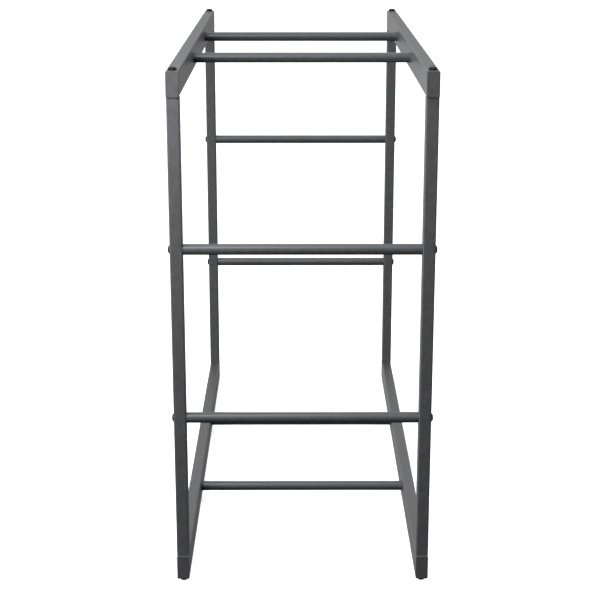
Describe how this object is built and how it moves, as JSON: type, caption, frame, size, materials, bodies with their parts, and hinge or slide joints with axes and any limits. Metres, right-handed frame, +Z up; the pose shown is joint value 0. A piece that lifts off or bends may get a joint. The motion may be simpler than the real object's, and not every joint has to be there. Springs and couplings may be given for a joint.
{
  "type": "firewood log rack",
  "caption": "Upright open steel rack for stacking firewood: two side frames of rectangular and square tube joined by round rods and domed bolts.",
  "frame": {"origin": "on the ground, under the middle of the rack", "axes": "+Z up; Y along the rack's length, from the front end frame to the rear one; X across it, +X to the right seen from the front end"},
  "size_m": [0.5176, 1.2, 1.0475],
  "materials": {
    "frame_coat": "satin anthracite powder coat",
    "rod_coat": "smoother satin anthracite powder coat",
    "end_caps": "moulded anthracite plastic",
    "black_bolts": "black coated steel, semi-gloss",
    "plated_steel": "zinc plated"
  },
  "bodies": {
    "root": {"left_bottom_rail": "frame_coat", "left_bottom_front_cap": "end_caps", "left_bottom_rear_cap": "end_caps", "left_top_rail": "frame_coat", "left_top_front_cap": "end_caps", "left_top_rear_cap": "end_caps", "left_front_post": "frame_coat", "left_rear_post": "frame_coat", "right_bottom_rail": "frame_coat", "right_bottom_front_cap": "end_caps", "right_bottom_rear_cap": "end_caps", "right_top_rail": "frame_coat", "right_top_front_cap": "end_caps", "right_top_rear_cap": "end_caps", "right_front_post": "frame_coat", "right_rear_post": "frame_coat", "front_lower_rod": "rod_coat", "front_upper_rod": "rod_coat", "rear_lower_rod": "rod_coat", "rear_upper_rod": "rod_coat", "bottom_front_rod": "rod_coat", "bottom_rear_rod": "rod_coat", "top_front_rod": "rod_coat", "top_rear_rod": "rod_coat", "left_rod_inserts": "plated_steel", "left_rod_bolts": "black_bolts", "right_rod_inserts": "plated_steel", "right_rod_bolts": "black_bolts", "bottom_corner_bolts": "black_bolts", "bottom_post_plugs": "plated_steel", "top_corner_bolts": "black_bolts", "top_post_plugs": "plated_steel"}
  },
  "joints": []
}
